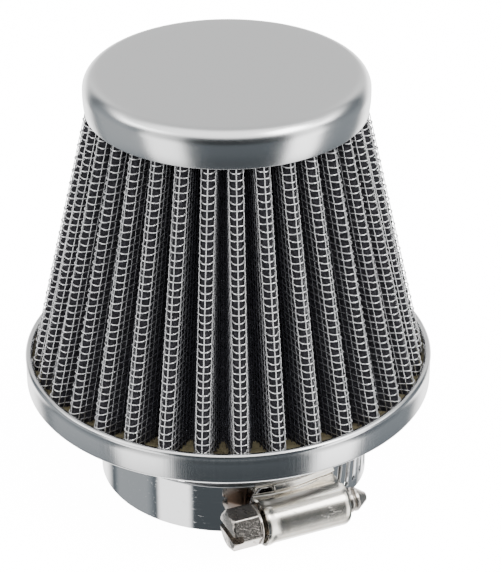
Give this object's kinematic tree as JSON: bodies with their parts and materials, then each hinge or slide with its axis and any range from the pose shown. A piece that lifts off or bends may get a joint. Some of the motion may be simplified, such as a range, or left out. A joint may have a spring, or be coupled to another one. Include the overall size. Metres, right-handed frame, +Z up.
{
  "type": "clamp-on cone air filter",
  "caption": "Conical pleated air filter with polished end cap and base pan, and a short neck held by a worm-drive hose clamp.",
  "frame": {"origin": "centre of the neck mouth", "axes": "+Z up the filter's axis to the cap; -Y the front; the clamp screw lies 23.5 degrees from -Y toward +X"},
  "size_m": [0.0698, 0.0698, 0.0756],
  "materials": {
    "polished_cap": "polished with fine specks",
    "polished_pan": "polished, lightly drawn",
    "wire": "bright woven wire",
    "media": "black woven cotton",
    "potting": "satin, khaki",
    "neck_steel": "drawn steel",
    "strap_steel": "mirror stainless with light scratches",
    "housing_steel": "warm bright stainless",
    "screw_steel": "zinc, rough flats"
  },
  "bodies": {
    "filter": {"cap": "polished_cap", "cap_potting": "potting", "outer_mesh": "wire", "filter_media": "media", "inner_mesh": "wire", "base_pan": "polished_pan", "base_potting": "potting", "neck_tube": "neck_steel"},
    "clamp": {"clamp_band": "strap_steel", "clamp_saddle": "housing_steel", "clamp_housing": "housing_steel"},
    "screw": {"clamp_screw": "screw_steel"},
    "band_end": {"clamp_band_end": "strap_steel"}
  },
  "joints": [
    {"name": "clamp_swivel", "type": "hinge", "parent": "filter", "child": "clamp", "pos_m": [0, 0, 0.005], "axis": [0, 0, 1], "continuous": true},
    {"name": "screw_turn", "type": "hinge", "parent": "clamp", "child": "screw", "pos_m": [0.01045, -0.02403, 0.005], "axis": [0.9171, 0.3987, 0], "range_deg": [-540, 720]},
    {"name": "strap_travel", "type": "hinge", "parent": "clamp", "child": "band_end", "pos_m": [0, 0, 0.005], "axis": [0, 0, -1], "range_deg": [-9.6, 12.7]}
  ],
  "couplings": [
    {"joint": "strap_travel", "follows": "screw_turn", "ratio": 0.017225}
  ]
}
